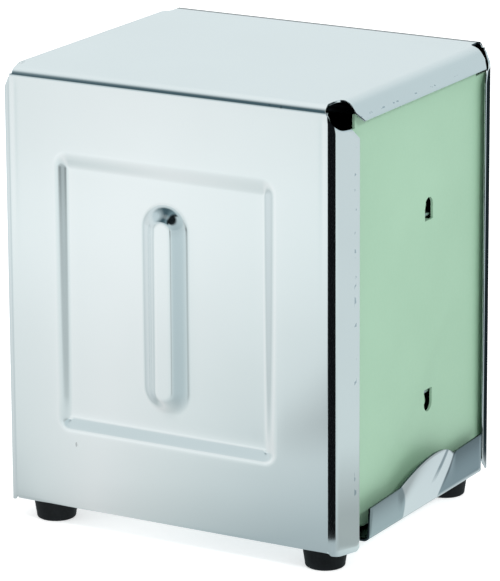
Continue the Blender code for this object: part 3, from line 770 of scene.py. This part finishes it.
def make_tray(finish):
    floor_end = BODY_WIDTH / 2 + LIP_OUT - HEM_RADIUS
    bend_end = floor_end + HEM_RADIUS * math.pi / 2
    wide_end = EDGE_X - 1.4 * MM
    lip_start = BODY_WIDTH / 2 + 1.0 * MM
    columns = joined(spread(0, wide_end, 8 * MM), spread(wide_end, lip_start, 1.2 * MM),
                     spread(lip_start, floor_end, 0.8 * MM), spread(floor_end, bend_end, 0.25 * MM),
                     spread(bend_end, bend_end + lip_length(), 0.7 * MM))
    half = joined(spread(0, TONGUE_HALF_WIDTH, 0.9 * MM), spread(TONGUE_HALF_WIDTH, LIP_HALF_WIDTH, 2 * MM),
                  [LIP_HALF_WIDTH, MOUTH_HALF_DEPTH], [MOUTH_HALF_DEPTH, TRAY_HALF_DEPTH])

    def keep(path, y):
        if path > lip_start:
            return abs(y) < LIP_HALF_WIDTH
        return path < wide_end or abs(y) < MOUTH_HALF_DEPTH

    bm = bmesh.new()
    add_sheet(bm, columns, mirrored_values(half), tray_point, keep)
    bmesh.ops.reverse_faces(bm, faces=bm.faces)
    holes = hole_cutter(TRAY_BOTTOM - 2 * MM, TRAY_BOTTOM + 2 * MM)
    mirror = "MIRROR", {"use_axis": (True, False, False), "merge_threshold": 0.01 * MM}
    mesh = applied(cleaned(bm, "tray"), mirror, thickened(SHEET), cut_by(holes), rounded(EDGE_ROUND))
    discard(holes)
    return new_piece("lip_tray", mesh, finish, "housing", "stainless", "base_tray")


# ---------------------------------------------------------------- follower plates and spring


def hook_strip(side, up, hinge):
    """The tab pressed out of a plate: round the spring's wire, then back towards its own hole."""
    width = HOOK_WIDTH - 1.6 * MM
    inner = PLATE_FACE - PLATE / 2
    deep = PLATE + WIRE + 0.35 * MM
    points = [(0.0, -0.4 * MM), (0.9 * MM, -0.42 * MM)]
    centre = (deep - 1.1 * MM, 0.68 * MM)
    points += [(centre[0] + 1.1 * MM * math.sin(a), centre[1] - 1.1 * MM * math.cos(a))
               for a in spread(0, math.radians(100), math.radians(12.5))]
    tip = (deep - 1.15 * MM, HOOK_HEIGHT - 1.7 * MM)
    points += [(points[-1][0] + (tip[0] - points[-1][0]) * t, points[-1][1] + (tip[1] - points[-1][1]) * t)
               for t in (0.35, 0.7, 0.86, 1.0)]
    bm = bmesh.new()
    rails = []
    for i, (depth, rise) in enumerate(points):
        narrow = 1.0 if i < len(points) - 3 else (0.92, 0.72, 0.34)[i - len(points) + 3]
        half = width / 2 * narrow
        x = side * (inner - depth)
        rails.append([bm.verts.new((x, HOOK_Y + s * half, hinge + up * rise)) for s in (-1, 1)])
    for a, b in zip(rails, rails[1:]):
        bm.faces.new((a[0], a[1], b[1], b[0]))
    bmesh.ops.recalc_face_normals(bm, faces=bm.faces)
    strip = applied(cleaned(bm, "hook"), ("SOLIDIFY", {"thickness": 0.7 * MM, "offset": 0.0,
                                                      "use_even_offset": True}))
    return link_object("hook_strip", strip)


def hook_window(side, up, hinge):
    """The hole that a hook was pressed out of, flat at the hinge and round at the far end."""
    radius = HOOK_WIDTH / 2
    height = HOOK_HEIGHT - radius
    outline = [(-radius, 0), (-radius, height)]
    outline += [(-radius * math.cos(a), height + radius * math.sin(a))
                for a in spread(0, math.pi, math.pi / 16)[1:-1]]
    outline += [(radius, height), (radius, 0)]
    bm = bmesh.new()
    reach = 3 * MM
    add_prism(bm, [(PLATE_FACE * side - reach, HOOK_Y + y, hinge + up * z) for y, z in outline],
              (2 * reach, 0, 0))
    bmesh.ops.recalc_face_normals(bm, faces=bm.faces)
    return linked(bm, "hook_window")


def make_plate(side, name, node, body, finish):
    low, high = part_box(node)
    middle = (low.z + high.z) / 2
    half_height = (high.z - low.z) / 2
    half = PLATE_HALF_WIDTH
    bend = PLATE * 1.5
    straight = half_height - bend

    def place(y, path):
        along = abs(path)
        angle = min(max(0.0, along - straight) / bend, math.pi / 2)
        rim = max(0.0, along - straight - bend * math.pi / 2)
        inward = bend * (1 - math.cos(angle)) + rim
        up = min(along, straight) + bend * math.sin(angle)
        return Vector((side * (PLATE_FACE - inward), y, middle + math.copysign(up, path)))

    ear, notch = PLATE_EAR
    rim_end = straight + bend * math.pi / 2

    def keep(y, path):
        if abs(y) > PLATE_RIM_HALF and abs(path) > straight:
            return False
        return abs(y) < ear or path < half_height - notch
    rows = mirrored_values(joined([0, half_height - notch, straight], spread(straight, rim_end, 0.3 * MM),
                                  [rim_end, rim_end + PLATE_RIM - bend]))
    bm = bmesh.new()
    add_sheet(bm, [-half, -ear, -PLATE_RIM_HALF, PLATE_RIM_HALF, ear, half], rows, place, keep)
    if side < 0:
        bmesh.ops.reverse_faces(bm, faces=bm.faces)
    tools = []
    steps = [thickened(PLATE)]
    for up in (-1, 1):
        ring_inner = SPRING_RADIUS * math.cos(math.pi / 20) - WIRE / 2
        hinge = SPRING_MIDDLE + up * (ring_inner - 0.3 * MM)
        tools += [hook_window(side, up, hinge), hook_strip(side, up, hinge)]
        steps += [cut_by(tools[-2]), cut_by(tools[-1], "UNION")]
    mesh = applied(cleaned(bm, "plate"), *steps, rounded(0.16 * MM, 3, 40), sharp=15)
    discard(*tools)
    return new_piece(name, mesh, finish, body, "mint_paint", node)


def half_spring(side, name, finish):
    """Half of the coil spring, from the middle to one plate."""
    curve = bpy.data.curves.new(name, "CURVE")
    curve.dimensions = "3D"
    curve.bevel_depth = WIRE / 2
    curve.bevel_resolution = 4
    curve.use_fill_caps = True
    coiled = SPRING_TURN - 2 * END_RING
    steps = 170
    spline = curve.splines.new("POLY")
    spline.points.add(steps)
    for i in range(steps + 1):
        turned = SPRING_TURN / 2 * (1 + side * i / steps)
        along = min(1.0, max(0.0, (turned - END_RING) / coiled))
        angle = START_ANGLE + turned
        spline.points[i].co = (RING_X * (2 * along - 1), HOOK_Y + SPRING_RADIUS * math.cos(angle),
                               SPRING_MIDDLE + SPRING_RADIUS * math.sin(angle), 1)
    mesh = evaluated_mesh(link_object("working", curve), 50)
    piece = new_piece(name, mesh, finish, "housing", "spring_steel", "coil_spring")
    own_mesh(piece)


# ---------------------------------------------------------------- feet and fasteners


def turned_mesh(name, profile, sides=64, sharp=35):
    """A closed profile of (radius, height) points turned once round the Z axis."""
    bm = bmesh.new()
    verts = [bm.verts.new((radius, 0, height)) for radius, height in profile]
    edges = [bm.edges.new((verts[i], verts[(i + 1) % len(verts)])) for i in range(len(verts))]
    bmesh.ops.spin(bm, geom=verts + edges, cent=(0, 0, 0), axis=(0, 0, 1), angle=2 * math.pi,
                   steps=sides, use_merge=True)
    bmesh.ops.remove_doubles(bm, verts=bm.verts, dist=0.002 * MM)
    bmesh.ops.delete(bm, geom=[edge for edge in bm.edges if edge.is_wire], context="EDGES")
    bmesh.ops.recalc_face_normals(bm, faces=bm.faces)
    mesh = cleaned(bm, name)
    mesh.set_sharp_from_angle(angle=math.radians(sharp))
    return mesh


def corner_arc(centre, radius, start, stop, steps=5):
    return [(centre[0] + radius * math.cos(a), centre[1] + radius * math.sin(a))
            for a in (math.radians(start + (stop - start) * i / steps) for i in range(steps + 1))]


def foot_mesh(node):
    low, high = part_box(node)
    top_radius = (high.x - low.x) / 2
    bottom_radius = 5.9 * MM
    recess, recess_top = 3.7 * MM, 4.6 * MM
    top = high.z
    profile = [(FOOT_HOLE, recess_top), (FOOT_HOLE, top)]
    profile += corner_arc((top_radius - 0.5 * MM, top - 0.5 * MM), 0.5 * MM, 90, 8)
    profile += corner_arc((bottom_radius - 0.75 * MM, 0.8 * MM), 0.8 * MM, 8, -90)
    profile += corner_arc((recess + 0.3 * MM, 0.3 * MM), 0.3 * MM, 270, 180, 3)
    profile.append((recess, recess_top))
    return turned_mesh("foot", profile)


def washer_mesh(low, high, outer):
    edge = 0.1 * MM
    return turned_mesh("washer", [(FOOT_HOLE, low + edge), (FOOT_HOLE, high - edge), (FOOT_HOLE + edge, high),
                                  (outer - edge, high), (outer, high - edge), (outer, low + edge),
                                  (outer - edge, low), (FOOT_HOLE + edge, low)], sharp=50)


def nut_mesh(low, high, flats):
    """A hexagon nut with both faces chamfered round and a plain bore."""
    bm = bmesh.new()
    place = Matrix.Translation((0, 0, (low + high) / 2))
    radius = flats / math.sqrt(3)
    bmesh.ops.create_cone(bm, cap_ends=True, segments=6, radius1=radius, radius2=radius, depth=high - low,
                          matrix=place)
    rim, outer = flats / 2 * 0.97, radius + 0.1 * MM
    rise = (radius - rim) * 0.58
    cone = [(0, low), (rim, low), (outer, low + rise), (outer, high - rise), (rim, high), (0, high)]
    shell = link_object("nut_chamfer", turned_mesh("nut_chamfer", cone, 48))
    bore = turned_mesh("nut_bore", [(0, low - MM), (1.65 * MM, low - MM), (1.65 * MM, high + MM),
                                    (0, high + MM)], 32)
    bore = link_object("nut_bore", bore)
    mesh = applied(cleaned(bm, "nut"), cut_by(shell, "INTERSECT"), cut_by(bore), sharp=25)
    discard(shell, bore)
    return mesh


def screw_mesh(low, high):
    """A low round head with a cross recess over a threaded shank."""
    seat = high - 0.9 * MM
    radius, pitch, depth = 1.5 * MM, 0.5 * MM, 0.18 * MM
    profile = [(0, low), (radius - 0.3 * MM, low)]
    level = low + 0.25 * MM
    while level < seat - pitch:
        profile += [(radius - depth, level), (radius, level + pitch / 2)]
        level += pitch
    head, dome = 3.5 * MM, 7.4 * MM
    profile += [(radius - 0.05 * MM, seat), (head - 0.1 * MM, seat), (head, seat + 0.12 * MM)]
    for share in (0.93, 0.8, 0.6, 0.4, 0.2):
        r = head * share
        profile.append((r, high - (dome - math.sqrt(dome ** 2 - r ** 2))))
    profile.append((0, high))
    slots = []
    slot_size = Matrix.Diagonal((3.0 * MM, 0.62 * MM, 1.0 * MM, 1))
    for turn in (0, math.pi / 2):
        bm = bmesh.new()
        place = Matrix.Translation((0, 0, high)) @ Matrix.Rotation(turn, 4, "Z")
        bmesh.ops.create_cube(bm, size=1.0, matrix=place @ slot_size)
        slots.append(linked(bm, "cross_slot"))
    mesh = applied(turned_mesh("screw", profile, 40), *(cut_by(slot) for slot in slots), sharp=28)
    discard(*slots)
    return mesh


def make_feet(rubber, zinc):
    first = next(iter(CORNERS))
    foot = foot_mesh(f"rubber_foot_{first}")
    ends = {kind: [corner.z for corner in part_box(f"foot_{kind}_{first}")]
            for kind in ("washer", "nut", "screw")}
    washer = washer_mesh(*ends["washer"], 3.3 * MM)
    nut = nut_mesh(*ends["nut"], 5.5 * MM)
    screw = screw_mesh(*ends["screw"])
    for number, (name, place) in enumerate(CORNERS.items()):
        turn = math.radians(23 + 31 * number)
        for kind, mesh, finish, slot in (("rubber_foot", foot, rubber, "black_rubber"),
                                         ("foot_washer", washer, zinc, "zinc_plate"),
                                         ("foot_nut", nut, zinc, "zinc_plate"),
                                         ("foot_screw", screw, zinc, "zinc_plate")):
            own = mesh.copy()
            own.transform(Matrix.Translation(place) @ Matrix.Rotation(turn, 4, "Z"))
            new_piece(f"{kind}_piece_{name}", own, finish, "housing", slot, f"{kind}_{name}")


# ---------------------------------------------------------------- studio


def only_reflected(obj):
    """A card of the studio that shows in reflections and nowhere else."""
    for ray in ("camera", "diffuse", "shadow", "transmission", "volume_scatter"):
        setattr(obj, f"visible_{ray}", False)


def glow_material(name, colour_of):
    made, n = material(name)
    n.surface("ShaderNodeEmission", {"Color": colour_of(n), "Strength": 1.0})
    return made


def azimuth_share(n, point):
    """0 to 1 for azimuth -180 to 180 degrees about the object; 0.5 looks out of the front."""
    parts = n.parts(point)
    angle = n.math("ARCTAN2", parts["X"], n.times(parts["Y"], -1.0))
    return n.math("ADD", n.math("DIVIDE", angle, 2 * math.pi), 0.5)


def share_at(azimuth):
    """What azimuth_share gives at an azimuth in degrees."""
    return 0.5 + azimuth / 360


def ground_distance(n, parts):
    """Distance from the upright axis through the object."""
    return n.math("SQRT", n.math("ADD", n.math("POWER", parts["X"], 2.0), n.math("POWER", parts["Y"], 2.0)))


def by_azimuth(*stops):
    return [((azimuth + 180) / 360, srgb(*colour)) for azimuth, colour in stops]


def flat_plane(name):
    bm = bmesh.new()
    bmesh.ops.create_grid(bm, x_segments=1, y_segments=1, size=6.0)
    return linked(bm, name)


def make_floor():
    """The pale floor that shows, and the card that stands for it in reflections, with painted shadow near the
    object.
    """
    floor = flat_plane("studio_floor")
    made, n = material("pale_floor")
    cloud = n.noise(3.0, detail=2.0)
    colour = n.ramp(cloud, [(0.3, (0.80, 0.80, 0.80)), (0.7, (0.81, 0.81, 0.81))])
    n.surface("ShaderNodeBsdfPrincipled", {"Base Color": colour, "Roughness": 0.9,
                                           "Emission Color": (1.0, 1.0, 1.0), "Emission Strength": 0.55})
    floor.data.materials.append(made)
    floor.visible_glossy = False
    floor.location.z = -0.02 * MM

    def floor_colour(n):
        point = n.object_point()
        turn = azimuth_share(n, point)
        dark, grey = (25, 35, 39), (122, 140, 148)
        round_about = n.ramp(turn, by_azimuth(
            (-180, dark), (-169, dark), (-164, grey), (-146, grey), (-134, (212, 222, 226)),
            (-66, (222, 231, 233)), (-55, (214, 224, 227)), (-45, (206, 217, 219)), (-39, (229, 238, 239)),
            (-30, (243, 248, 249)), (-20, (231, 240, 241)), (-8, (217, 229, 231)), (4, (205, 219, 222)),
            (18, (192, 208, 212)), (50, (186, 202, 207)), (72, (210, 224, 224)), (112, (208, 220, 223)),
            (140, (202, 214, 218)), (150, (50, 64, 69)), (158, dark)))
        parts = n.parts(point)
        reach = ground_distance(n, parts)
        # Painted shadow: the reflected floor darkens close to the object.
        near_floor_shadow = n.ramp(reach, [(0.08, 0.74), (0.11, 0.82), (0.15, 0.86), (0.20, 0.88), (0.26, 0.91),
                                  (0.33, 0.96), (0.40, 1.0), (0.47, 1.0), (0.62, 0.93)])
        # Painted reflections: darker bands in the reflected floor beside the mouth and far ahead.
        by_mouth = n.ramp(parts["X"], [(0.076, 1.0), (0.082, 0.58), (0.11, 0.58), (0.17, 0.95)])
        beside = n.span(parts["Y"], -60 * MM, -35 * MM)
        by_far = n.ramp(reach, [(0.14, 1.0), (0.18, 0.74), (0.30, 0.72), (0.42, 0.62), (0.50, 0.36),
                                (0.62, 0.30), (0.8, 0.8)])
        ahead = n.times(n.span(turn, share_at(-13), share_at(-7)),
                        n.span(turn, share_at(-3), share_at(2), 1.0, 0.0))
        away = n.math("SUBTRACT", 1.0, n.times(beside, n.span(parts["X"], 55 * MM, 62 * MM)))
        colour = n.tinted(round_about, near_floor_shadow, away)
        colour = n.tinted(colour, by_mouth, beside)
        return n.tinted(colour, by_far, ahead)

    card = flat_plane("floor_reflection")
    card.data.materials.append(glow_material("floor_glow", floor_colour))
    only_reflected(card)


def make_dome():
    """Painted reflections of the white tent round the object: brighter and darker by direction and height."""

    def dome_colour(n):
        point = n.object_point()
        turn = azimuth_share(n, point)
        side, rear, pale = (190, 205, 210), (190, 206, 210), (236, 243, 244)
        shade, black = (66, 88, 96), (22, 28, 31)
        horizon = n.ramp(turn, by_azimuth(
            (-180, (206, 219, 222)), (-165, (224, 234, 236)), (-60, (212, 223, 226)), (-30, (204, 216, 219)),
            (-12, rear), (60, (150, 168, 174)), (72, side), (140, (178, 197, 202)), (160, (186, 204, 208)),
            (178, (206, 219, 222))))
        middle = n.ramp(turn, by_azimuth(
            (-180, (210, 222, 225)), (-140, (226, 235, 237)), (-60, (190, 206, 211)), (-34, shade),
            (-24, shade), (-12, (110, 134, 142)), (-5, black), (60, black), (80, side), (150, rear),
            (178, (210, 222, 225))))
        high = n.ramp(turn, by_azimuth(
            (-180, (212, 224, 227)), (-140, pale), (-60, pale), (-30, pale), (30, rear), (150, rear),
            (178, (212, 224, 227))))
        parts = n.parts(point)
        climb = n.math("ARCTAN2", parts["Z"], ground_distance(n, parts))
        raised = n.ramp(turn, [(share_at(-5), 0.0), (share_at(0), 1.0), (share_at(62), 1.0),
                               (share_at(70), 0.0)])
        climb = n.math("SUBTRACT", climb, n.times(raised, math.radians(10)))
        above = n.span(climb, math.radians(8), math.radians(16))
        far_above = n.span(climb, math.radians(38), math.radians(66))
        return n.mixed(n.mixed(horizon, middle, above), high, far_above)

    bm = bmesh.new()
    bmesh.ops.create_uvsphere(bm, u_segments=64, v_segments=32, radius=5.0)
    dome = linked(bm, "tent_reflection")
    dome.data.materials.append(glow_material("tent_glow", dome_colour))
    only_reflected(dome)


def make_flag():
    """A narrow black flag beside the front right edge, which draws the dark line down the bend."""
    bm = bmesh.new()
    centre = Vector((EDGE_X, -HALF_DEPTH + FOLD_RADIUS, 0))
    angles = spread(math.radians(-16), math.radians(68), math.radians(6))
    reach = 38 * MM

    def place(angle, z):
        return centre + Vector((math.sin(angle) * reach, -math.cos(angle) * reach, z))

    add_sheet(bm, angles, [-5 * MM, 400 * MM], place)
    flag = linked(bm, "edge_flag")
    flag.data.materials.append(glow_material("flag_black", lambda n: (0.004, 0.005, 0.006)))
    only_reflected(flag)


def direction(azimuth, elevation):
    """Unit vector at an azimuth from the front, towards the right, and a height, both in radians."""
    return Vector((math.sin(azimuth) * math.cos(elevation), -math.cos(azimuth) * math.cos(elevation),
                   math.sin(elevation)))


def make_lights():
    """One small key light from the right, and an even pale world."""
    data = bpy.data.lights.new("key", "AREA")
    data.shape = "SQUARE"
    data.size = 0.12
    data.energy = 5.5
    light = link_object("key", data)
    towards = direction(math.radians(58), math.radians(30))
    light.location = Vector((0, 0, 70 * MM)) + towards * 1.3
    light.rotation_euler = towards.to_track_quat("Z", "Y").to_euler()
    light.visible_glossy = False
    world = bpy.data.worlds.new("pale_studio")
    world.use_nodes = True
    n = Nodes(world.node_tree)
    n.surface("ShaderNodeBackground", {"Color": (1.0, 1.0, 1.0), "Strength": 0.97}, "ShaderNodeOutputWorld")
    bpy.context.scene.world = world
    bpy.context.scene.view_settings.view_transform = "Standard"


def make_camera():
    """A long lens, low and to the right of the front panel, aimed a little off the body's centre."""
    azimuth, elevation, roll = math.radians(29.929), math.radians(15.675), math.radians(-0.319)
    distance = 1271.7 * MM
    across, above = 0.342 * MM, 6.128 * MM
    back = direction(azimuth, elevation)
    right = Vector((math.cos(azimuth), math.sin(azimuth), 0))
    up = back.cross(right)
    right, up = (right * math.cos(roll) + up * math.sin(roll)), (up * math.cos(roll) - right * math.sin(roll))
    data = bpy.data.cameras.new("camera")
    data.lens = 263.5
    data.sensor_width = 36.0
    data.clip_start, data.clip_end = 0.05, 50.0
    camera = link_object("camera", data)
    camera.matrix_world = Matrix.Translation(
        Vector((0, 0, PANEL_CENTRE)) + back * distance - right * across - up * above
    ) @ Matrix((right, up, back)).transposed().to_4x4()
    bpy.context.scene.camera = camera


# ---------------------------------------------------------------- the scene

make_camera()
steel = steel_material("rolled_stainless", (0.93, 0.96, 0.965), 0.07, 0.12, (2600, 22, 22), 0.10, 0.5)
lip_steel = steel_material("lip_stainless", (0.92, 0.95, 0.955), 0.08, 0.13, (22, 2600, 22), 0.10, 0.5, True)
spring_steel = steel_material("drawn_spring_wire", (0.62, 0.65, 0.70), 0.22, 0.34, (900, 60, 60), 0.2)
zinc = steel_material("zinc_plating", (0.66, 0.68, 0.72), 0.24, 0.36, (300, 300, 300), 0.2)
mint = mint_material()
rubber = rubber_material()

make_wrapper(steel)
make_tray(lip_steel)
make_plate(1, "right_plate", "follower_plate_right", "right_follower", mint)
make_plate(-1, "left_plate", "follower_plate_left", "left_follower", mint)
half_spring(1, "spring_right_half", spring_steel)
half_spring(-1, "spring_left_half", spring_steel)
make_feet(rubber, zinc)

make_floor()
make_dome()
make_flag()
make_lights()
